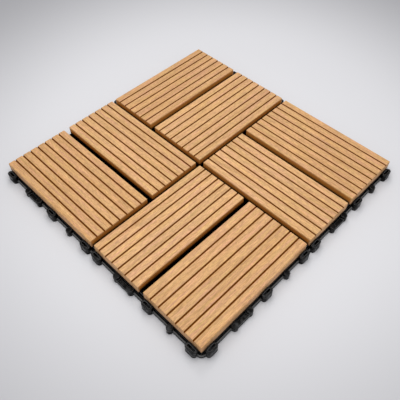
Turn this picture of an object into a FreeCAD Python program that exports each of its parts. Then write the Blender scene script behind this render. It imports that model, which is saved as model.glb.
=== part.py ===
import FreeCAD, Part
import math
import os
import Sketcher

# Interlocking deck tile. Eight grooved slats lie two by two in a basket weave and are screwed
# from below to one moulded grid. Loops, tabs and bumps round the grid's edge, its lobes, hook
# onto the next tile. Millimetres, +Z up, origin on the ground under the middle of the tile.

# Sizes that can each be set by themselves: name, value, what it is
DRIVING_SIZES = (
    ("rib_pitch", 9.6, "from groove to groove"),
    ("coarse_rib_pitch", 11.0, "the same on the coarse slat at the front"),
    ("edge_rib", 8.65, "from a slat's side to the middle of its first groove"),
    ("narrow_ribs", 7, "ribs on a narrow slat"),
    ("wide_ribs", 8, "ribs on a wide slat"),
    ("coarse_ribs", 7, "ribs on the coarse slat, which is as broad as a wide one"),
    ("slat_gap", 7.0, "between the two slats of a quadrant"),
    ("quadrant_gap", 5.6, "between two quadrants"),
    ("slat_thickness", 10.0, ""),
    ("slat_side_round", 1.2, "round along the top of the long sides"),
    ("slat_end_round", 0.8, "round of the upright corners and the ends' top edges"),
    ("groove_width", 1.5, ""),
    ("groove_depth", 2.0, ""),
    ("groove_lip", 0.6, "round where a groove meets the top"),
    ("base_height", 8.0, "from the ground to the underside of the slats"),
    ("quadrant_cells", 6, "lattice cells along one side of a quadrant"),
    ("lattice_bar", 2.4, "thickness of the lattice bars"),
    ("lattice_bottom", 3.2, "from the ground up to the bars and to the seats of the screws' heads"),
    ("wall_inset", 1.0, "from the slats' outer edge in to the lattice's outer face"),
    ("wall_thickness", 2.6, "outermost bar of the lattice"),
    ("foot_radius", 4.0, ""),
    ("boss_radius", 6.0, "round each screw"),
    ("band_lap", 1.5, "how far the bands reach past the gaps above them"),
    ("band_thickness", 1.6, ""),
    ("rail_reach", 2.7, "from the slats' outer edge out to the rail's outer face"),
    ("rail_thickness", 1.4, ""),
    ("rail_height", 3.4, ""),
    ("rail_corner_round", 5.5, ""),
    ("channel_floor", 1.0, "floor of the channel between the rail and the lattice"),
    ("web_width", 2.4, "webs that carry the rail and the lobes"),
    ("lobe_reach", 6.6, "from the slats' outer edge out to the loops, lugs and bumps"),
    ("lobe_chamfer", 0.5, "along the top edges of the lobes"),
    ("loop_clearance", 0.3, "between the loops and the slats' sides"),
    ("loop_rise", 2.0, "from the slats' underside up to the top of the loops"),
    ("loop_length", 13.0, ""),
    ("loop_wall", 1.9, "wall round the slot of a loop"),
    ("end_loop_offset", 9.2, "from a quadrant's end to the middle of its end loop"),
    ("middle_loop_offset", 83.5, "from a quadrant's start to its third loop"),
    ("tab_offset", 49.5, "from a quadrant's start to the middle of the tab"),
    ("lug_spacing", 20.2, "between the two lugs of a tab"),
    ("lug_radius", 3.5, ""),
    ("tab_bar_height", 4.4, ""),
    ("tab_bar_setback", 0.8, "from the lugs' outer side in to the bar's"),
    ("bump_offset", 113.4, "from a quadrant's start"),
    ("bump_radius", 3.3, ""),
    ("screw_shank_radius", 1.7, ""),
    ("screw_grip", 6.0, "depth that a screw reaches into its slat"),
    ("screw_tip", 2.0, "length of the screw's point"),
    ("screw_head_radius", 3.6, ""),
    ("screw_head_height", 2.2, ""),
    ("screw_recess_reach", 2.1, "from the middle of the cross recess to the end of an arm"),
    ("screw_recess_width", 0.9, ""),
    ("screw_recess_depth", 1.2, ""),
    ("shank_clearance", 0.4, "round the shank, where it passes through the base"),
    ("pilot_clearance", 0.05, "round the shank, inside the slat"),
)

# Sizes that follow from the others
DERIVED_SIZES = (
    ("narrow_width", "(narrow_ribs - 2) * rib_pitch + 2 * edge_rib"),
    ("wide_width", "(wide_ribs - 2) * rib_pitch + 2 * edge_rib"),
    ("coarse_edge_rib", "(wide_width - (coarse_ribs - 2) * coarse_rib_pitch) / 2"),
    ("quadrant_side", "narrow_width + slat_gap + wide_width"),
    ("tile_side", "2 * quadrant_side + quadrant_gap"),
    ("tile_half", "tile_side / 2"),
    ("quadrant_middle", "(quadrant_gap + quadrant_side) / 2"),
    ("narrow_inner", "(quadrant_gap + narrow_width) / 2"),
    ("wide_inner", "(quadrant_gap + wide_width) / 2"),
    ("narrow_outer", "tile_half - narrow_width / 2"),
    ("wide_outer", "tile_half - wide_width / 2"),
    ("wall_half", "tile_half - wall_inset"),
    ("wall_inner_half", "wall_half - wall_thickness"),
    ("lattice_cells", "2 * quadrant_cells"),
    ("lattice_pitch", "(2 * wall_inner_half + lattice_bar) / lattice_cells"),
    ("lattice_height", "base_height - lattice_bottom"),
    ("cross_band_half", "quadrant_gap / 2 + band_lap"),
    ("gap_band_start", "quadrant_gap / 2 + narrow_width - band_lap"),
    ("gap_band_end", "quadrant_gap / 2 + wide_width + slat_gap + band_lap"),
    ("rail_half", "tile_half + rail_reach"),
    ("rail_inner_half", "rail_half - rail_thickness"),
    ("rail_inner_round", "rail_corner_round - rail_thickness"),
    ("lobe_half", "tile_half + lobe_reach"),
    ("loop_depth", "lobe_reach - loop_clearance"),
    ("loop_middle", "lobe_half - loop_depth / 2"),
    ("loop_height", "base_height + loop_rise"),
    ("lug_middle", "lobe_half - lug_radius"),
    ("bump_middle", "lobe_half - bump_radius"),
    ("screw_length", "lattice_height + screw_grip"),
)

def size(name):
    """Expression for one size of the sheet."""
    return "Sizes." + name


# Lattice nodes that carry a screw boss or a foot, counted from the middle of the tile
LAST_NODE = f"({size('quadrant_cells')} - 1)"
NEXT_TO_LAST_NODE = f"({size('quadrant_cells')} - 2)"
INNER_SCREW_NODES = ("1", "2")
OUTER_SCREW_NODES = (NEXT_TO_LAST_NODE, LAST_NODE)
LENGTHWISE_SCREW_NODES = ("1", LAST_NODE)
FOOT_NODES = (("1", "0"), (NEXT_TO_LAST_NODE, "0"), ("3", "-3"))

QUADRANTS = ("front", "right", "back", "left")
QUADRANT_TURN = 90

document = FreeCAD.newDocument("deck_tile")
sheet = document.addObject("Spreadsheet::Sheet", "Sizes")


def fill_sheet():
    """Writes every size into the sheet under its own alias."""
    row = 0
    for alias, value, _meaning in DRIVING_SIZES:
        row += 1
        sheet.set(f"A{row}", alias)
        sheet.set(f"B{row}", str(value))
        sheet.setAlias(f"B{row}", alias)
    for alias, formula in DERIVED_SIZES:
        row += 1
        sheet.set(f"A{row}", alias)
        sheet.set(f"B{row}", "=" + formula)
        sheet.setAlias(f"B{row}", alias)
    document.recompute()


def value(expression):
    """The number that an expression gives now."""
    return float(sheet.evalExpression(str(expression)))


def new_sketch(body, name, role="XY_Plane", height=None):
    """Sketch on one of the body's origin planes, raised by an expression."""
    sketch = body.newObject("Sketcher::SketchObject", name)
    plane = next(item for item in body.Origin.OriginFeatures if item.Role == role)
    sketch.AttachmentSupport = (plane, [""])
    sketch.MapMode = "FlatFace"
    if height is not None:
        sketch.setExpression(".AttachmentOffset.Base.z", height)
    return sketch


def bind_point(sketch, geometry, point, x, y):
    """Ties a point of the sketch to two expressions, measured from the origin."""
    for kind, expression in (("DistanceX", x), ("DistanceY", y)):
        index = sketch.addConstraint(
            Sketcher.Constraint(kind, -1, 1, geometry, point, value(expression)))
        sketch.setExpression(f"Constraints[{index}]", expression)


def bind_radius(sketch, geometry, radius):
    """Ties an arc's or circle's radius to an expression."""
    index = sketch.addConstraint(Sketcher.Constraint("Radius", geometry, value(radius)))
    sketch.setExpression(f"Constraints[{index}]", radius)


def draw_polygon(sketch, corners):
    """Closed outline of straight lines whose corners are pairs of expressions."""
    first = sketch.GeometryCount
    count = len(corners)
    points = [FreeCAD.Vector(value(x), value(y), 0) for x, y in corners]
    for index in range(count):
        line = Part.LineSegment(points[index], points[(index + 1) % count])
        sketch.addGeometry(line, False)
    for index in range(count):
        following = first + (index + 1) % count
        sketch.addConstraint(Sketcher.Constraint("Coincident", first + index, 2, following, 1))
    for index, (x, y) in enumerate(corners):
        bind_point(sketch, first + index, 1, x, y)


def draw_rectangle(sketch, left, bottom, right, top):
    """Rectangle between four expressions."""
    draw_polygon(sketch, ((left, bottom), (right, bottom), (right, top), (left, top)))


def draw_circle(sketch, x, y, radius):
    """Circle whose middle and radius are expressions."""
    middle = FreeCAD.Vector(value(x), value(y), 0)
    circle = Part.Circle(middle, FreeCAD.Vector(0, 0, 1), value(radius))
    geometry = sketch.addGeometry(circle, False)
    bind_point(sketch, geometry, 3, x, y)
    bind_radius(sketch, geometry, radius)


def draw_stadium(sketch, x, y, length, depth, upright=False):
    """Slot outline with half-round ends, along the sketch's x axis or upright along its y axis."""
    radius = f"({depth}) / 2"
    reach = f"(({length}) - ({depth})) / 2"
    if upright:
        first, second, start = (x, f"({y}) - {reach}"), (x, f"({y}) + {reach}"), math.pi
    else:
        first, second, start = (f"({x}) - {reach}", y), (f"({x}) + {reach}", y), math.pi / 2
    normal = FreeCAD.Vector(0, 0, 1)
    ends = []
    for middle_x, middle_y in (first, second):
        middle = FreeCAD.Vector(value(middle_x), value(middle_y), 0)
        circle = Part.Circle(middle, normal, value(radius))
        geometry = sketch.addGeometry(Part.ArcOfCircle(circle, start, start + math.pi), False)
        bind_point(sketch, geometry, 3, middle_x, middle_y)
        ends.append(geometry)
        start -= math.pi
    for near, far in (ends, reversed(ends)):
        side = Part.LineSegment(sketch.getPoint(near, 2), sketch.getPoint(far, 1))
        line = sketch.addGeometry(side, False)
        sketch.addConstraint(Sketcher.Constraint("Tangent", near, 2, line, 1))
        sketch.addConstraint(Sketcher.Constraint("Tangent", line, 2, far, 1))
    bind_radius(sketch, ends[0], radius)


def pad(body, sketch, name, length):
    """Adds the sketch's outline to the body, upwards from its plane."""
    feature = body.newObject("PartDesign::Pad", name)
    feature.Profile = sketch
    feature.setExpression("Length", length)
    document.recompute()
    return feature


def pocket(body, sketch, name, depth=None):
    """Cuts the sketch's outline: upwards by a depth, or both ways through everything."""
    before = body.Shape.Volume
    feature = body.newObject("PartDesign::Pocket", name)
    feature.Profile = sketch
    if depth is None:
        feature.Type = "ThroughAll"
        feature.Midplane = True
    else:
        feature.Reversed = True
        feature.setExpression("Length", depth)
    document.recompute()
    if feature.Shape.Volume >= before:
        raise RuntimeError(name + " cuts nothing")
    return feature


def fillet(body, base, name, edges, radius):
    """Rounds the listed edges of the base feature."""
    feature = body.newObject("PartDesign::Fillet", name)
    feature.Base = (base, edges)
    feature.setExpression("Radius", radius)
    document.recompute()
    return feature


def chamfer(body, base, name, edges, width):
    """Bevels the listed edges of the base feature."""
    feature = body.newObject("PartDesign::Chamfer", name)
    feature.Base = (base, edges)
    feature.setExpression("Size", width)
    document.recompute()
    return feature


def upright_edges(shape):
    """Names of the straight edges that run along Z."""
    names = []
    for index, edge in enumerate(shape.Edges):
        box = edge.BoundBox
        if box.ZLength > 1e-6 and box.XLength < 1e-6 and box.YLength < 1e-6:
            names.append(f"Edge{index + 1}")
    return names


def edges_at_height(shape, height):
    """Names of the edges that lie wholly at one height."""
    names = []
    for index, edge in enumerate(shape.Edges):
        box = edge.BoundBox
        if abs(box.ZMin - height) < 1e-6 and abs(box.ZMax - height) < 1e-6:
            names.append(f"Edge{index + 1}")
    return names


def long_top_edges(shape, height):
    """Names of the top edges that run along Y."""
    return [name for name in edges_at_height(shape, height)
            if shape.getElement(name).BoundBox.YLength > shape.getElement(name).BoundBox.XLength]


def end_edges(shape, distance):
    """Names of the edges round both end faces, but for their bottom edges."""
    names = []
    for index, edge in enumerate(shape.Edges):
        box = edge.BoundBox
        at_end = box.YLength < 1e-6 and abs(abs(box.YMax) - distance) < 1e-6
        if at_end and box.ZMax > 1e-6:
            names.append(f"Edge{index + 1}")
    return names


def outwards(shape, name):
    """How far an edge's middle lies from the tile's middle, across the nearest side."""
    middle = shape.getElement(name).CenterOfMass
    return max(abs(middle.x), abs(middle.y))


def corner_edges(shape, distance):
    """Names of the upright edges at one distance along both X and Y."""
    names = []
    for name in upright_edges(shape):
        middle = shape.getElement(name).CenterOfMass
        if max(abs(abs(middle.x) - distance), abs(abs(middle.y) - distance)) < 1e-6:
            names.append(name)
    return names


def repeat(body, original, name, axis, spacing, count):
    """Repeats a feature along one axis of its own sketch."""
    pattern = body.newObject("PartDesign::LinearPattern", name)
    pattern.Originals = [original]
    pattern.Direction = (original.Profile[0], [axis])
    pattern.Mode = "Spacing"
    pattern.setExpression("Offset", spacing)
    pattern.setExpression("Occurrences", count)
    body.Tip = pattern
    document.recompute()
    return pattern


def fill_with_cells(body, first_cell):
    """Repeats the cell at the middle of the tile over one quadrant."""
    pattern = body.newObject("PartDesign::MultiTransform", "cells")
    pattern.Originals = [first_cell]
    rows = []
    for axis, turned_back in (("H_Axis", False), ("V_Axis", True)):
        row = document.addObject("PartDesign::LinearPattern", "cells_along_" + axis)
        row.Direction = (first_cell.Profile[0], [axis])
        row.Reversed = turned_back
        row.Mode = "Spacing"
        row.setExpression("Offset", size("lattice_pitch"))
        row.setExpression("Occurrences", size("quadrant_cells"))
        rows.append(row)
    pattern.Transformations = rows
    body.Tip = pattern
    document.recompute()


def edge_places(offset, distance):
    """The same place on both outer sides of the front quadrant, in sketch coordinates.

    The offset runs anticlockwise from where the quadrant's side begins; the distance is
    measured from the middle of the tile. The last value tells whether the side is upright.
    """
    return ((offset, "-" + distance, False),
            (distance, f"-{size('tile_half')} + {offset}", True))


def draw_edge_rectangles(sketch, offset, length, near, far):
    """Rectangle on both outer sides of the front quadrant, between two distances."""
    half = f"({length}) / 2"
    draw_rectangle(sketch, f"{offset} - {half}", "-" + far, f"{offset} + {half}", "-" + near)
    start = f"-{size('tile_half')} + {offset}"
    draw_rectangle(sketch, near, f"{start} - {half}", far, f"{start} + {half}")


def loop_offsets():
    """Offsets of the three loops on a quadrant's side."""
    end = size("end_loop_offset")
    return end, size("middle_loop_offset"), f"({size('tile_half')} - {end})"


def lug_offsets():
    """Offsets of the two lugs of a tab."""
    middle = size("tab_offset")
    half = size("lug_spacing") + " / 2"
    return f"({middle} - {half})", f"({middle} + {half})"


def draw_corner_strip(sketch, inner, outer):
    """Strip along both outer sides of the front quadrant, between two distances."""
    draw_polygon(sketch, (("0", "-" + outer), (outer, "-" + outer), (outer, "0"), (inner, "0"),
                          (inner, "-" + inner), ("0", "-" + inner)))


def add_rail(body):
    """Thin low rail outside the lattice, with round corners and a channel behind it."""
    outer = size("rail_half")
    inner = size("rail_inner_half")
    outline = new_sketch(body, "rail_outline")
    draw_corner_strip(outline, size("wall_inner_half"), outer)
    pad(body, outline, "rail", size("rail_height"))
    channel = new_sketch(body, "channel_outline", height=size("channel_floor"))
    draw_corner_strip(channel, size("wall_half"), inner)
    rail = pocket(body, channel, "channel", size("rail_height"))
    for name, half, radius in (("inner", inner, "rail_inner_round"),
                               ("outer", outer, "rail_corner_round")):
        corner = corner_edges(rail.Shape, value(half))
        rail = fillet(body, rail, f"rail_{name}_corner", corner, size(radius))


def add_webs(body):
    """Upright webs from the lattice's outermost bar out to every lobe."""
    outline = new_sketch(body, "web_outline")
    places = [(offset, size("loop_middle")) for offset in loop_offsets()]
    places += [(offset, size("lug_middle")) for offset in lug_offsets()]
    places.append((size("bump_offset"), size("bump_middle")))
    for offset, reach in places:
        draw_edge_rectangles(outline, offset, size("web_width"), size("wall_inner_half"), reach)
    pad(body, outline, "webs", size("base_height"))


def add_lobes(body):
    """What stands out past the rail: loops, the lugs of the tabs, and bumps."""
    loops = new_sketch(body, "loop_outline")
    for offset in loop_offsets():
        for x, y, upright in edge_places(offset, size("loop_middle")):
            draw_stadium(loops, x, y, size("loop_length"), size("loop_depth"), upright)
    pad(body, loops, "loops", size("loop_height"))
    rounds = new_sketch(body, "lug_and_bump_outline")
    for offset in lug_offsets():
        for x, y, _upright in edge_places(offset, size("lug_middle")):
            draw_circle(rounds, x, y, size("lug_radius"))
    for x, y, _upright in edge_places(size("bump_offset"), size("bump_middle")):
        draw_circle(rounds, x, y, size("bump_radius"))
    lobes = pad(body, rounds, "lugs_and_bumps", size("base_height"))
    tops = edges_at_height(lobes.Shape, value(size("loop_height")))
    tops += [name for name in edges_at_height(lobes.Shape, value(size("base_height")))
             if outwards(lobes.Shape, name) > value(size("rail_inner_half"))]
    chamfer(body, lobes, "lobe_tops", tops, size("lobe_chamfer"))


def add_tab_bars(body):
    """Low bars that join the two lugs of each tab."""
    outline = new_sketch(body, "tab_bar_outline")
    front = f"({size('lobe_half')} - {size('tab_bar_setback')})"
    draw_edge_rectangles(outline, size("tab_offset"), size("lug_spacing"), size("rail_inner_half"), front)
    pad(body, outline, "tab_bars", size("tab_bar_height"))


def cut_loop_slots(body):
    """Slots of the loops, right through."""
    outline = new_sketch(body, "loop_slot_outline")
    walls = "2 * " + size("loop_wall")
    for offset in loop_offsets():
        for x, y, upright in edge_places(offset, size("loop_middle")):
            draw_stadium(outline, x, y, f"{size('loop_length')} - {walls}",
                         f"{size('loop_depth')} - {walls}", upright)
    pocket(body, outline, "loop_slots")


def add_bands(body):
    """Closed bands at the top of the lattice, under every gap that a quadrant can have."""
    outline = new_sketch(body, "band_outline",
                         height=f"{size('base_height')} - {size('band_thickness')}")
    end = size("wall_inner_half")
    cross = size("cross_band_half")
    near = size("gap_band_start")
    far = size("gap_band_end")
    draw_polygon(outline, (("0", "-" + end), (cross, "-" + end), (cross, "-" + cross), (near, "-" + cross),
                           (near, "-" + end), (far, "-" + end), (far, "-" + cross), (end, "-" + cross),
                           (end, "0"), ("0", "0")))
    pad(body, outline, "bands", size("band_thickness"))


def screw_nodes():
    """Lattice nodes of the front quadrant's screws: across and along its slats."""
    nodes = []
    for across in INNER_SCREW_NODES + OUTER_SCREW_NODES:
        for along in LENGTHWISE_SCREW_NODES:
            nodes.append((across, "-" + along))
    return nodes


def draw_at_nodes(sketch, nodes, radius):
    """One circle at each of the listed lattice nodes."""
    pitch = size("lattice_pitch")
    for x, y in nodes:
        draw_circle(sketch, f"{x} * {pitch}", f"{y} * {pitch}", radius)


def turn_into_quadrants(body):
    """Repeats the whole front quadrant round the middle of the tile."""
    pattern = body.newObject("PartDesign::PolarPattern", "quadrants")
    pattern.TransformMode = "Whole shape"
    pattern.Axis = (next(item for item in body.Origin.OriginFeatures if item.Role == "Z_Axis"), [""])
    pattern.Angle = 360
    pattern.Occurrences = len(QUADRANTS)
    pattern.Refine = False
    body.Tip = pattern
    document.recompute()


def make_base():
    """The moulding under the slats: its front quadrant, repeated four times."""
    body = document.addObject("PartDesign::Body", "base_grid")
    block = new_sketch(body, "lattice_outline", height=size("lattice_bottom"))
    draw_rectangle(block, "0", "-" + size("wall_half"), size("wall_half"), "0")
    pad(body, block, "lattice_block", size("lattice_height"))
    add_rail(body)
    add_webs(body)
    add_lobes(body)
    add_tab_bars(body)
    cell = new_sketch(body, "cell_outline")
    near = size("lattice_bar") + " / 2"
    far = f"({size('lattice_pitch')} - {near})"
    draw_rectangle(cell, near, "-" + far, far, "-" + near)
    fill_with_cells(body, pocket(body, cell, "first_cell"))
    add_bands(body)
    bosses = new_sketch(body, "boss_outline", height=size("lattice_bottom"))
    draw_at_nodes(bosses, screw_nodes(), size("boss_radius"))
    pad(body, bosses, "bosses", size("lattice_height"))
    feet = new_sketch(body, "foot_outline")
    draw_at_nodes(feet, FOOT_NODES, size("foot_radius"))
    pad(body, feet, "feet", size("base_height"))
    bores = new_sketch(body, "screw_bore_outline")
    draw_at_nodes(bores, screw_nodes(), f"{size('screw_shank_radius')} + {size('shank_clearance')}")
    pocket(body, bores, "screw_bores")
    cut_loop_slots(body)
    turn_into_quadrants(body)
    return body


def draw_groove(sketch, x, top):
    """Groove section: straight sides, half-round bottom and rounded lips."""
    half = size("groove_width") + " / 2"
    lip = size("groove_lip")
    above = f"{top} + {lip}"
    floor_middle = f"{top} - {size('groove_depth')} + {half}"
    outer_left = f"({x}) - {half} - {lip}"
    outer_right = f"({x}) + {half} + {lip}"
    normal = FreeCAD.Vector(0, 0, 1)

    def arc(middle_x, middle_y, radius, start, finish):
        middle = FreeCAD.Vector(value(middle_x), value(middle_y), 0)
        curve = Part.ArcOfCircle(Part.Circle(middle, normal, value(radius)), start, finish)
        return sketch.addGeometry(curve, False)

    def line(start, finish):
        return sketch.addGeometry(Part.LineSegment(start, finish), False)

    def bind_height(geometry, point, expression):
        index = sketch.addConstraint(
            Sketcher.Constraint("DistanceY", -1, 1, geometry, point, value(expression)))
        sketch.setExpression(f"Constraints[{index}]", expression)

    lip_middle = f"{top} - {lip}"
    left_lip = arc(outer_left, lip_middle, lip, 0, math.pi / 2)
    floor = arc(x, floor_middle, half, math.pi, 2 * math.pi)
    right_lip = arc(outer_right, lip_middle, lip, math.pi / 2, math.pi)
    upper_left = FreeCAD.Vector(value(outer_left), value(above), 0)
    upper_right = FreeCAD.Vector(value(outer_right), value(above), 0)
    left_side = line(sketch.getPoint(left_lip, 1), sketch.getPoint(floor, 1))
    right_side = line(sketch.getPoint(floor, 2), sketch.getPoint(right_lip, 2))
    right_rise = line(sketch.getPoint(right_lip, 1), upper_right)
    lid = line(upper_right, upper_left)
    left_rise = line(upper_left, sketch.getPoint(left_lip, 2))
    joins = (("Tangent", left_lip, 1, left_side, 1), ("Tangent", left_side, 2, floor, 1),
             ("Tangent", floor, 2, right_side, 1), ("Tangent", right_side, 2, right_lip, 2),
             ("Coincident", right_lip, 1, right_rise, 1), ("Coincident", right_rise, 2, lid, 1),
             ("Coincident", lid, 2, left_rise, 1), ("Coincident", left_rise, 2, left_lip, 2),
             ("Vertical", left_side), ("Vertical", right_side), ("Vertical", left_rise),
             ("Vertical", right_rise), ("Horizontal", lid), ("Vertical", left_lip, 3, left_lip, 2),
             ("Vertical", right_lip, 3, right_lip, 1))
    for join in joins:
        sketch.addConstraint(Sketcher.Constraint(*join))
    bind_point(sketch, floor, 3, x, floor_middle)
    bind_radius(sketch, floor, half)
    for geometry in (left_lip, right_lip):
        bind_radius(sketch, geometry, lip)
        bind_height(geometry, 3, lip_middle)
    bind_height(lid, 1, above)


def make_slat(name, turn, width, middle, ribs, pitch, edge_rib, across_nodes):
    """One slat: rounded board, grooves along its top and pilot holes in its underside."""
    body = document.addObject("PartDesign::Body", name)
    outline = new_sketch(body, name + "_outline")
    half_width = width + " / 2"
    half_length = size("quadrant_side") + " / 2"
    draw_rectangle(outline, "-" + half_width, "-" + half_length, half_width, half_length)
    board = pad(body, outline, name + "_board", size("slat_thickness"))
    sides = fillet(body, board, name + "_sides",
                   long_top_edges(board.Shape, value(size("slat_thickness"))), size("slat_side_round"))
    fillet(body, sides, name + "_ends", end_edges(sides.Shape, value(half_length)),
           size("slat_end_round"))

    section = new_sketch(body, name + "_groove_section", role="XZ_Plane")
    draw_groove(section, f"-{half_width} + {edge_rib}", size("slat_thickness"))
    groove = pocket(body, section, name + "_first_groove")
    repeat(body, groove, name + "_grooves", "H_Axis", pitch, ribs + " - 1")

    pilots = new_sketch(body, name + "_pilot_outline")
    pilot_radius = size("screw_shank_radius") + " + " + size("pilot_clearance")
    for across in across_nodes:
        for along in LENGTHWISE_SCREW_NODES:
            x = f"{across} * {size('lattice_pitch')} - {middle}"
            y = f"{size('quadrant_middle')} - {along} * {size('lattice_pitch')}"
            draw_circle(pilots, x, y, pilot_radius)
    pocket(body, pilots, name + "_pilots", size("screw_grip"))

    across, along = middle, size("quadrant_middle")
    places = ((across, "-" + along), (along, across), ("-" + across, along), ("-" + along, "-" + across))
    x, y = places[turn]
    upright = FreeCAD.Rotation(FreeCAD.Vector(0, 0, 1), QUADRANT_TURN * turn)
    body.Placement = FreeCAD.Placement(FreeCAD.Vector(0, 0, 0), upright)
    body.setExpression(".Placement.Base.x", x)
    body.setExpression(".Placement.Base.y", y)
    body.setExpression(".Placement.Base.z", size("base_height"))
    return body


def make_slats():
    """Two slats a quadrant; the wide one lies outside, except in the back quadrant."""
    narrow = (size("narrow_width"), size("narrow_ribs"), size("rib_pitch"), size("edge_rib"))
    wide = (size("wide_width"), size("wide_ribs"), size("rib_pitch"), size("edge_rib"))
    coarse = (size("wide_width"), size("coarse_ribs"), size("coarse_rib_pitch"),
              size("coarse_edge_rib"))
    kinds = {"front": (narrow, coarse), "right": (narrow, wide),
             "back": (wide, narrow), "left": (narrow, wide)}
    slats = []
    for turn, quadrant in enumerate(QUADRANTS):
        inner, outer = kinds[quadrant]
        inner_middle = size("wide_inner") if inner is wide else size("narrow_inner")
        outer_middle = size("narrow_outer") if outer is narrow else size("wide_outer")
        for rank, kind, middle, nodes in (("inner", inner, inner_middle, INNER_SCREW_NODES),
                                          ("outer", outer, outer_middle, OUTER_SCREW_NODES)):
            width, ribs, pitch, edge_rib = kind
            slats.append(make_slat(f"slat_{quadrant}_{rank}", turn, width, middle, ribs, pitch,
                                   edge_rib, nodes))
    return slats


def make_screw():
    """One screw, point up, with the seat of its head at its origin."""
    body = document.addObject("PartDesign::Body", "screw_pattern")
    section = new_sketch(body, "screw_section", role="XZ_Plane")
    head = size("screw_head_radius")
    shank = size("screw_shank_radius")
    bottom = "-" + size("screw_head_height")
    rim = bottom + " / 2"
    shoulder = size("screw_length") + " - " + size("screw_tip")
    draw_polygon(section, (("0", bottom), (head + " * 0.75", bottom), (head, rim), (head, "0"),
                           (shank, "0"), (shank, shoulder), ("0", size("screw_length"))))
    turned = body.newObject("PartDesign::Revolution", "screw_turned")
    turned.Profile = section
    turned.ReferenceAxis = (section, ["V_Axis"])
    turned.Angle = 360
    document.recompute()
    recess = new_sketch(body, "screw_recess_outline", height=bottom)
    far = size("screw_recess_reach")
    near = size("screw_recess_width") + " / 2"
    draw_polygon(recess, (("-" + near, "-" + far), (near, "-" + far), (near, "-" + near),
                          (far, "-" + near), (far, near), (near, near), (near, far),
                          ("-" + near, far), ("-" + near, near), ("-" + far, near),
                          ("-" + far, "-" + near), ("-" + near, "-" + near)))
    pocket(body, recess, "screw_recess", size("screw_recess_depth"))
    return body


def make_screws():
    """All the screws as separate solids of one group."""
    screw = make_screw()
    pitch = value(size("lattice_pitch"))
    seat = value(size("lattice_bottom"))
    copies = []
    for turn in range(len(QUADRANTS)):
        rotation = FreeCAD.Rotation(FreeCAD.Vector(0, 0, 1), QUADRANT_TURN * turn)
        for x, y in screw_nodes():
            node = FreeCAD.Vector(value(x) * pitch, value(y) * pitch, seat)
            copy = screw.Shape.copy()
            copy.Placement = FreeCAD.Placement(rotation.multVec(node), rotation)
            copies.append(copy)
    group = document.addObject("Part::Feature", "screws")
    group.Shape = Part.makeCompound(copies)
    return group


def check_and_export(parts):
    """Stops on any failed object or bad shape, then writes one file a sub-part."""
    for item in document.Objects:
        if "Invalid" in item.State or "Error" in item.State:
            raise RuntimeError(f"{item.Label} failed: {item.State}")
    for part in parts:
        if part.Shape.isNull() or not part.Shape.isValid():
            raise RuntimeError(part.Label + " has no valid shape")
    os.makedirs("parts", exist_ok=True)
    for part in parts:
        part.Shape.exportStep(f"parts/{part.Label}.step")
        print(f"{part.Label}: {len(part.Shape.Solids)} solid(s), {part.Shape.Volume / 1000:.1f} cm3")


fill_sheet()
sub_parts = [make_base()] + make_slats() + [make_screws()]
document.recompute()
check_and_export(sub_parts)
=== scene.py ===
"""Looks of the interlocking deck tile: wood, moulded plastic, zinc, studio floor, light, camera."""
import math

import bpy
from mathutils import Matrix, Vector


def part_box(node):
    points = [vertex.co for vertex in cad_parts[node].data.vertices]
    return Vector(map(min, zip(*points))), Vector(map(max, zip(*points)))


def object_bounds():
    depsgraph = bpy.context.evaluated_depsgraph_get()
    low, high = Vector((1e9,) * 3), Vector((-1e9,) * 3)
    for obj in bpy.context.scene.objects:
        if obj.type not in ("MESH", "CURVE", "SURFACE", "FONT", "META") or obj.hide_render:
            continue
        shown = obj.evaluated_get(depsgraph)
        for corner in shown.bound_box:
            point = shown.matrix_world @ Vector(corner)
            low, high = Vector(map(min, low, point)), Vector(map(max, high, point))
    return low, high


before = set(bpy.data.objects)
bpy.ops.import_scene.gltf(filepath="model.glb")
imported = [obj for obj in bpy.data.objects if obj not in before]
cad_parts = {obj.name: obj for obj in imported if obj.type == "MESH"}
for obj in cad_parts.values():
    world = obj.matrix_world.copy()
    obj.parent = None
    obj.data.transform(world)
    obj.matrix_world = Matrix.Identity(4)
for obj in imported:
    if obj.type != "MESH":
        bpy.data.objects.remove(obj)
cad_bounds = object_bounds()

MM = 0.001

# Camera: where it looks, from which side and how far, and its lens
CAMERA_AIM = Vector((22.9, -22.7, -8.6)) * MM
CAMERA_AZIMUTH = 44.55
CAMERA_ELEVATION = 51.89
CAMERA_DISTANCE = 539.9 * MM
CAMERA_LENS = 43.67
SENSOR_WIDTH = 36.0
NEAREST_SEEN = 10.0 * MM

# Slats, as the frame has them
RIB_PITCH = 9.6 * MM
GROOVE_DEPTH = 2.0 * MM
SLAT_TOP = cad_bounds[1][2]
SLAT_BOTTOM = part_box("slat_front_outer")[0][2]
SLAT_THICKNESS = SLAT_TOP - SLAT_BOTTOM
WOOD_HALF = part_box("slat_front_outer")[1][0]

# Wood, colours linear
WOOD_LIGHT = (0.715, 0.424, 0.196)
WOOD_DARK = (0.610, 0.325, 0.126)
WOOD_PINK = (0.722, 0.372, 0.222)
WOOD_GOLD = (0.722, 0.456, 0.170)
WOOD_FIBRE = (0.360, 0.165, 0.050)
OUTER_TONE = (0.955, 0.935, 0.910)
# Painted shade in the grooves
GROOVE_SHADE_BROWN = (0.215, 0.058, 0.000)
# Painted shade on the sides in the gaps
GAP_SHADE_BROWN = (0.620, 0.255, 0.048)
GAP_SHADE_BLACK = (0.010, 0.004, 0.001)
# Painted shade on the tile's outer sides, towards their bottom
WOOD_SHADE_GREY = (0.520, 0.310, 0.190)
BOTTOM_SHADE_BROWN = (0.200, 0.090, 0.035)
WOOD_SHEEN = 0.3
WOOD_ROUGHNESS = (0.50, 0.68)

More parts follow.
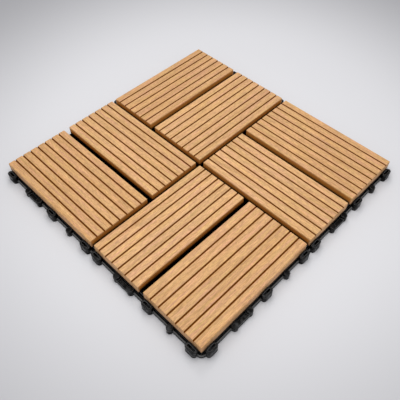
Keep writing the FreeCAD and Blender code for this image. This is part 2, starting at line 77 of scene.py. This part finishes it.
# Grain: frequency along and across the slat in 1/m, then the noise's detail, roughness, distortion
GRAIN = {
    "streaks": (9.0, 170.0, 3.0, 0.55, 0.6),
    "pink": (32.0, 520.0, 3.0, 0.6, 0.0),
    "gold": (38.0, 600.0, 3.0, 0.6, 0.0),
    "lines": (28.0, 430.0, 2.0, 0.8, 0.0),
    "fibres": (45.0, 1500.0, 4.0, 0.6, 0.0),
    "pores": (420.0, 3600.0, 1.0, 0.5, 0.0),
    "flecks": (220.0, 1350.0, 3.0, 0.8, 0.0),
}
# Grain that tints the wood: noise values where the tint starts and is full, its share, its colour
TINTS = (
    ("streaks", 0.25, 0.80, 1.00, WOOD_DARK),
    ("pink", 0.46, 0.62, 0.60, WOOD_PINK),
    ("gold", 0.46, 0.62, 0.50, WOOD_GOLD),
    ("fibres", 0.50, 0.80, 0.30, WOOD_FIBRE),
    ("pores", 0.62, 0.80, 0.25, WOOD_FIBRE),
)
# Grain that shades the wood: two noise values, and the brightness at each
TONES = (
    ("lines", 0.32, 0.68, 1.08, 0.89),
    ("flecks", 0.35, 0.65, 0.78, 1.21),
)
RIB_TONES = (0.95, 1.05)
SEED_PER_METRE = (37.0, 91.0)
SEED_SPAN = 7.0
SEED_START = 3.0
FIBRE_RELIEF = 0.6
PORE_RELIEF = 0.4
WOOD_RELIEF = (0.10 * MM, 0.5)

# Painted shade: where each starts and is full, as depth under the slats' tops unless it says
# otherwise
GROOVE_SHADED_DEPTHS = (0.01 * GROOVE_DEPTH, 0.30 * GROOVE_DEPTH)
UNDER_GROOVES = (1.3 * GROOVE_DEPTH, 1.6 * GROOVE_DEPTH)
GAP_SHADES = ((GAP_SHADE_BROWN, 0.4 * MM, 3.0 * MM), (GAP_SHADE_BLACK, 4.5 * MM, 9.0 * MM))
SIDE_SHADING = (0.55 * SLAT_THICKNESS, 0.95 * SLAT_THICKNESS)
SIDE_SHADE_SHARES = (0.10, 0.70)
BOTTOM_SHADING = (0.78 * SLAT_THICKNESS, SLAT_THICKNESS)
BOTTOM_SHADE_SHARE = 0.75
OFF_LONG_SIDES = (0.5 * MM, 2.2 * MM)  # in from the slat's long sides
INSIDE_WOOD = (0.4 * MM, 2.5 * MM)  # in from the tile's outer edge
END_FACE = (0.3, 0.7)  # lengthwise part of the normal
LEVEL_WOOD = (0.30, 0.90)  # vertical part of the normal

# Plastic
PLASTIC_BLACK = (0.0018, 0.0018, 0.0021)
PLASTIC_GREY = (0.0050, 0.0051, 0.0054)
# Painted highlights on the plastic's edges and the rail's top
PLASTIC_EDGE_HIGHLIGHT = (0.1350, 0.1370, 0.1380)
RAIL_TOP_HIGHLIGHT = (0.1450, 0.1470, 0.1470)
PLASTIC_SHEEN = 0.20
PLASTIC_ROUGHNESS = (0.46, 0.28)
PATCH_GLOSS = (0.35, 1.0)
MOULDED_ROUND = 1.0 * MM
BEVEL_SAMPLES = 8
TURNED_AWAY = (0.01, 0.15)  # how far a rounded normal leaves the flat one
RAIL_TOP = 3.4 * MM
RAIL_TOP_SLACK = 0.2 * MM
COVERED = (0.5 * MM, 4.0 * MM)  # in from the tile's outer edge
FACING_UP = (0.2, 0.8)  # vertical part of the normal
LEVEL_RAIL = (0.5, 0.9)  # the same, on the rail
PLASTIC_RELIEF = (0.05 * MM, 0.35)

# Zinc
ZINC = (0.560, 0.570, 0.560)
ZINC_DULL = (0.340, 0.350, 0.340)
ZINC_ROUGHNESS = (0.30, 0.50)
ZINC_RELIEF = (0.02 * MM, 0.3)

# Noise that is even in all directions: frequency in 1/m, where it starts, its detail
PLASTIC_SPECKLE = (1800.0, (0, 0, 0), 2.0)
PLASTIC_CLOUDS = (60.0, (2, 5, 1), 3.0)
PLASTIC_PATCHES = (260.0, (7, 1, 3), 2.0)
ZINC_PATCHES = (700.0, (4, 2, 9), 3.0)
# Values of that noise where its effect starts and is full
CLOUDS_SHOW = (0.35, 0.75)
PATCHES_SHOW = (0.38, 0.62)
ZINC_PATCHES_SHOW = (0.35, 0.70)

# Floor: painted light falloff, its colour fades with the distance from a place a little behind the
# tile's middle
FLOOR_PALE = (0.751, 0.749, 0.769)
FLOOR_DIMMED = (0.457, 0.455, 0.473)
FLOOR_MIDDLE = (-0.018, 0.064)
FLOOR_LIGHT_FALLOFF = (0.20, 0.493)
FLOOR_ROUGHNESS = 0.9
FLOOR_REACH = 8.0
FLOOR_CORNERS = 96
FLOOR_DROP = 0.05 * MM

# Soft boxes: name, place, size in metres, watts
SOFT_BOXES = (
    ("soft_box", (0.05, -0.05, 0.55), 0.42, 1.75),
    ("rear_box", (-0.42, 0.42, 0.80), 0.3, 1.6),
)
ROOM_COLOUR = (1.0, 1.0, 1.02, 1.0)
ROOM_STRENGTH = 0.50


class Shader:
    """A material whose nodes are added and linked one by one."""

    def __init__(self, name):
        self.material = bpy.data.materials.new(name)
        self.material.use_nodes = True
        self.tree = self.material.node_tree
        self.surface = self.tree.nodes["Principled BSDF"]
        self.object_place = self.tree.nodes.new("ShaderNodeTexCoord").outputs["Object"]

    def link(self, source, socket):
        """Feeds a socket from another socket, or sets it to a value."""
        if isinstance(source, bpy.types.NodeSocket):
            self.tree.links.new(source, socket)
        else:
            socket.default_value = source

    def geometry(self, output):
        return self.tree.nodes.new("ShaderNodeNewGeometry").outputs[output]

    def math(self, operation, first, second=0.0):
        node = self.tree.nodes.new("ShaderNodeMath")
        node.operation = operation
        self.link(first, node.inputs[0])
        self.link(second, node.inputs[1])
        return node.outputs[0]

    def product(self, first, *others):
        for other in others:
            first = self.math("MULTIPLY", first, other)
        return first

    def inverse(self, share):
        """What a share leaves of 1."""
        return self.math("SUBTRACT", 1.0, share)

    def stretch(self, vector, scale, shift):
        """Scales and shifts a vector."""
        node = self.tree.nodes.new("ShaderNodeMapping")
        self.link(vector, node.inputs["Vector"])
        node.inputs["Scale"].default_value = scale
        node.inputs["Location"].default_value = shift
        return node.outputs["Vector"]

    def parts(self, vector):
        node = self.tree.nodes.new("ShaderNodeSeparateXYZ")
        self.link(vector, node.inputs[0])
        return node.outputs

    def join(self, parts):
        node = self.tree.nodes.new("ShaderNodeCombineXYZ")
        for source, socket in zip(parts, node.inputs):
            self.link(source, socket)
        return node.outputs[0]

    def noise(self, vector, detail, roughness=0.5, distortion=0.0):
        node = self.tree.nodes.new("ShaderNodeTexNoise")
        node.inputs["Scale"].default_value = 1.0
        node.inputs["Detail"].default_value = detail
        node.inputs["Roughness"].default_value = roughness
        node.inputs["Distortion"].default_value = distortion
        self.link(vector, node.inputs["Vector"])
        return node.outputs["Fac"]

    def even_noise(self, frequency, start, detail):
        """Noise of one frequency in all directions."""
        return self.noise(self.stretch(self.object_place, (frequency,) * 3, start), detail)

    def random_step(self, number):
        """A random value that stays the same over each whole step of the number."""
        node = self.tree.nodes.new("ShaderNodeTexWhiteNoise")
        node.noise_dimensions = "1D"
        self.link(self.math("FLOOR", number), node.inputs["W"])
        return node.outputs["Value"]

    def fade(self, value, low, high):
        """0 below low, 1 above high, smooth between."""
        node = self.tree.nodes.new("ShaderNodeMapRange")
        node.interpolation_type = "SMOOTHSTEP"
        self.link(value, node.inputs["Value"])
        self.link(low, node.inputs["From Min"])
        self.link(high, node.inputs["From Max"])
        return node.outputs["Result"]

    def spread(self, value, low, high):
        """Maps 0..1 to low..high."""
        return self.math("ADD", self.math("MULTIPLY", value, high - low), low)

    def inside_tile(self, place, start, full):
        """0 near the wood's outer edge, 1 further in."""
        edges = [self.math("SUBTRACT", WOOD_HALF, self.math("ABSOLUTE", part))
                 for part in place[:2]]
        return self.fade(self.math("MINIMUM", *edges), start, full)

    def blend(self, factor, first, second, mode="MIX"):
        node = self.tree.nodes.new("ShaderNodeMix")
        node.data_type = "RGBA"
        node.blend_type = mode
        node.clamp_factor = True
        self.link(factor, node.inputs["Factor"])
        for source, socket in ((first, node.inputs["A"]), (second, node.inputs["B"])):
            self.link(source if not isinstance(source, tuple) else (*source, 1.0), socket)
        return node.outputs["Result"]

    def shade(self, colour, tone):
        """Multiplies a colour by a grey value."""
        return self.blend(1.0, colour, self.join((tone,) * 3), "MULTIPLY")

    def rounded_normal(self, radius):
        """The surface's normal with its sharp edges rounded."""
        node = self.tree.nodes.new("ShaderNodeBevel")
        node.samples = BEVEL_SAMPLES
        node.inputs["Radius"].default_value = radius
        return node.outputs["Normal"]

    def edges(self, rounded):
        """1 where the rounded normal turns away from the flat surface, else 0."""
        node = self.tree.nodes.new("ShaderNodeVectorMath")
        node.operation = "DOT_PRODUCT"
        self.link(rounded, node.inputs[0])
        self.link(self.geometry("True Normal"), node.inputs[1])
        return self.fade(self.inverse(node.outputs["Value"]), *TURNED_AWAY)

    def bump(self, height, distance, strength, normal=None):
        """Relief on the surface, or on another normal where one is given."""
        node = self.tree.nodes.new("ShaderNodeBump")
        if normal:
            self.link(normal, node.inputs["Normal"])
        node.inputs["Distance"].default_value = distance
        node.inputs["Strength"].default_value = strength
        self.link(height, node.inputs["Height"])
        self.link(node.outputs["Normal"], self.surface.inputs["Normal"])

    def finish(self, **sockets):
        """Feeds the surface's sockets, named with underscores, and gives the material."""
        for name, source in sockets.items():
            self.link(source, self.surface.inputs[name.replace("_", " ")])
        return self.material


def slat_grain(shader, place, seed):
    """Noises drawn out along a slat, each from a start of its own that the seed shifts."""
    starts = {
        "streaks": (seed, seed, 0),
        "pink": (seed, -seed, 5),
        "gold": (-seed, seed, 8),
        "lines": (seed, 3, -seed),
        "fibres": (-seed, seed, 0),
        "pores": (seed, 2 * seed, 0),
        "flecks": (2, seed, seed),
    }
    noises = {}
    for kind, start in starts.items():
        along, across, *texture = GRAIN[kind]
        stretched = shader.stretch(place, (along, across, across), start)
        noises[kind] = shader.noise(stretched, *texture)
    return noises


def bare_wood(shader, grain, across_place):
    """Colour of the wood before any painted shade."""
    colour = WOOD_LIGHT
    for kind, low, high, share, tint in TINTS:
        strength = shader.product(shader.fade(grain[kind], low, high), share)
        colour = shader.blend(strength, colour, tint)
    for kind, low, high, first, last in TONES:
        tone = shader.spread(shader.fade(grain[kind], low, high), first, last)
        colour = shader.shade(colour, tone)
    rib = shader.random_step(shader.product(across_place, 1.0 / RIB_PITCH))
    return shader.shade(colour, shader.spread(rib, *RIB_TONES))


def wood(name, low, high):
    """Light brown wood whose grain runs along the slat between two corners of its box."""
    shader = Shader(name)
    size = high - low
    middle = (low + high) / 2
    lengthwise, across = (0, 1) if size.x > size.y else (1, 0)
    place = shader.parts(shader.object_place)
    normal = shader.parts(shader.geometry("Normal"))
    depth = shader.math("SUBTRACT", SLAT_TOP, place[2])
    seed = (middle.x * SEED_PER_METRE[0] + middle.y * SEED_PER_METRE[1]) % SEED_SPAN + SEED_START
    slat_place = shader.join((place[lengthwise], place[across], place[2]))
    grain = slat_grain(shader, slat_place, seed)
    colour = bare_wood(shader, grain, place[across])
    if name.endswith("outer"):
        colour = shader.blend(1.0, colour, OUTER_TONE, "MULTIPLY")

    # Painted shade: the grooves are painted dark brown where shade falls in them, the slat's own
    # long sides and end faces are not
    off_centre = shader.math("ABSOLUTE", shader.math("SUBTRACT", place[across], middle[across]))
    inwards = shader.math("SUBTRACT", size[across] / 2, off_centre)
    end_face = shader.fade(shader.math("ABSOLUTE", normal[lengthwise]), *END_FACE)
    groove = shader.product(shader.fade(depth, *GROOVE_SHADED_DEPTHS),
                            shader.fade(inwards, *OFF_LONG_SIDES), shader.inverse(end_face),
                            shader.inverse(shader.fade(depth, *UNDER_GROOVES)))
    colour = shader.blend(groove, colour, GROOVE_SHADE_BROWN)

    # Painted shade: sides that face a gap are painted darker towards the bottom, brown and then
    # black, where the shade in the gap deepens
    upright = shader.inverse(shader.fade(shader.math("ABSOLUTE", normal[2]), *LEVEL_WOOD))
    inside_tile = shader.inside_tile(place, *INSIDE_WOOD)
    in_gap = shader.product(upright, inside_tile)
    for shade_colour, top, bottom in GAP_SHADES:
        colour = shader.blend(shader.product(in_gap, shader.fade(depth, top, bottom)), colour,
                              shade_colour)

    # Painted shade: the tile's outer sides are painted greyer and darker towards the bottom, and
    # dark brown along their lowest part
    outer_side = shader.product(upright, shader.inverse(inside_tile))
    side_shade = shader.spread(shader.fade(depth, *SIDE_SHADING), *SIDE_SHADE_SHARES)
    colour = shader.blend(shader.product(outer_side, side_shade), colour, WOOD_SHADE_GREY)
    bottom_shade = shader.product(outer_side, shader.fade(depth, *BOTTOM_SHADING), BOTTOM_SHADE_SHARE)
    colour = shader.blend(bottom_shade, colour, BOTTOM_SHADE_BROWN)

    shader.bump(shader.math("ADD", shader.product(grain["fibres"], FIBRE_RELIEF),
                            shader.product(grain["pores"], PORE_RELIEF)), *WOOD_RELIEF)
    open_wood = shader.inverse(shader.math("MAXIMUM", groove, in_gap))
    return shader.finish(Base_Color=colour,
                         Specular_IOR_Level=shader.product(open_wood, WOOD_SHEEN),
                         Roughness=shader.spread(grain["fibres"], *WOOD_ROUGHNESS))


def moulded_plastic(name):
    """Black plastic with a faint moulding texture, painted shade under the slats and painted
    highlights on its edges and the rail's top.
    """
    shader = Shader(name)
    clouds = shader.even_noise(*PLASTIC_CLOUDS)
    patches = shader.fade(shader.even_noise(*PLASTIC_PATCHES), *PATCHES_SHOW)
    colour = shader.blend(shader.fade(clouds, *CLOUDS_SHOW), PLASTIC_BLACK, PLASTIC_GREY)

    # Right under the slats hardly any light comes back off the plastic
    place = shader.parts(shader.object_place)
    level = shader.parts(shader.geometry("True Normal"))[2]
    covered = shader.product(shader.inside_tile(place, *COVERED), shader.fade(level, *FACING_UP))
    open_air = shader.inverse(covered)
    colour = shader.shade(colour, open_air)

    # Painted highlights: edges and the rail's top are painted lighter, as where they catch the
    # light
    rounded = shader.rounded_normal(MOULDED_ROUND)
    colour = shader.blend(shader.product(shader.edges(rounded), open_air), colour, PLASTIC_EDGE_HIGHLIGHT)
    off_rail = shader.math("ABSOLUTE", shader.math("SUBTRACT", place[2], RAIL_TOP))
    rail_top = shader.product(shader.fade(level, *LEVEL_RAIL),
                              shader.math("LESS_THAN", off_rail, RAIL_TOP_SLACK))
    colour = shader.blend(shader.product(rail_top, open_air), colour, RAIL_TOP_HIGHLIGHT)

    shader.bump(shader.even_noise(*PLASTIC_SPECKLE), *PLASTIC_RELIEF, rounded)
    gloss = shader.product(shader.spread(patches, *PATCH_GLOSS), open_air, PLASTIC_SHEEN)
    return shader.finish(Base_Color=colour, Specular_IOR_Level=gloss,
                         Roughness=shader.spread(patches, *PLASTIC_ROUGHNESS))


def zinc(name):
    """Dull zinc on the screws."""
    shader = Shader(name)
    patches = shader.even_noise(*ZINC_PATCHES)
    colour = shader.blend(shader.fade(patches, *ZINC_PATCHES_SHOW), ZINC, ZINC_DULL)
    shader.bump(patches, *ZINC_RELIEF)
    return shader.finish(Base_Color=colour, Metallic=1.0,
                         Roughness=shader.spread(patches, *ZINC_ROUGHNESS))


def dress(node, material):
    """Puts one material on every slot of a frame node."""
    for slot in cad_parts[node].material_slots:
        slot.material = material


def add_floor():
    """Pale studio floor that darkens a little away from the tile, a painted falloff of the light.
    """
    bpy.ops.mesh.primitive_circle_add(vertices=FLOOR_CORNERS, radius=FLOOR_REACH,
                                      fill_type="NGON", location=(0, 0, -FLOOR_DROP))
    floor = bpy.context.object
    floor.name = "floor"
    shader = Shader("floor_paper")
    place = shader.parts(shader.object_place)
    offsets = [shader.math("SUBTRACT", part, middle)
               for part, middle in zip(place[:2], FLOOR_MIDDLE)]
    squares = [shader.product(offset, offset) for offset in offsets]
    distance = shader.math("SQRT", shader.math("ADD", *squares))
    colour = shader.blend(shader.fade(distance, *FLOOR_LIGHT_FALLOFF), FLOOR_PALE, FLOOR_DIMMED)
    floor.data.materials.append(shader.finish(Base_Color=colour, Roughness=FLOOR_ROUGHNESS))


def add_soft_box(name, place, size, power):
    """Square area light that points at the tile's middle."""
    lamp = bpy.data.lights.new(name, "AREA")
    lamp.size = size
    lamp.energy = power
    light = bpy.data.objects.new(name, lamp)
    light.location = place
    light.rotation_euler = (-Vector(place)).to_track_quat("-Z", "Y").to_euler()
    bpy.context.scene.collection.objects.link(light)


def add_lights():
    """One large soft box above, a small one behind for the plastic, and an even pale room."""
    for soft_box in SOFT_BOXES:
        add_soft_box(*soft_box)
    world = bpy.data.worlds.new("room")
    bpy.context.scene.world = world
    world.use_nodes = True
    background = world.node_tree.nodes["Background"]
    background.inputs["Color"].default_value = ROOM_COLOUR
    background.inputs["Strength"].default_value = ROOM_STRENGTH


def add_camera():
    """Camera that sees the tile as the photograph does."""
    azimuth = math.radians(CAMERA_AZIMUTH)
    elevation = math.radians(CAMERA_ELEVATION)
    back = Vector((math.sin(azimuth) * math.cos(elevation),
                   -math.cos(azimuth) * math.cos(elevation), math.sin(elevation)))
    lens = bpy.data.cameras.new("camera")
    lens.lens = CAMERA_LENS
    lens.sensor_width = SENSOR_WIDTH
    lens.clip_start = NEAREST_SEEN
    camera = bpy.data.objects.new("camera", lens)
    camera.location = CAMERA_AIM + back * CAMERA_DISTANCE
    camera.rotation_euler = (-back).to_track_quat("-Z", "Y").to_euler()
    bpy.context.scene.collection.objects.link(camera)
    bpy.context.scene.camera = camera


add_camera()
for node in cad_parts:
    if node.startswith("slat_"):
        corners = [Vector(corner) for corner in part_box(node)]
        dress(node, wood("wood_" + node, *corners))
dress("base_grid", moulded_plastic("black_plastic"))
dress("screws", zinc("zinc"))
add_floor()
add_lights()
bpy.context.scene.view_settings.view_transform = "Standard"
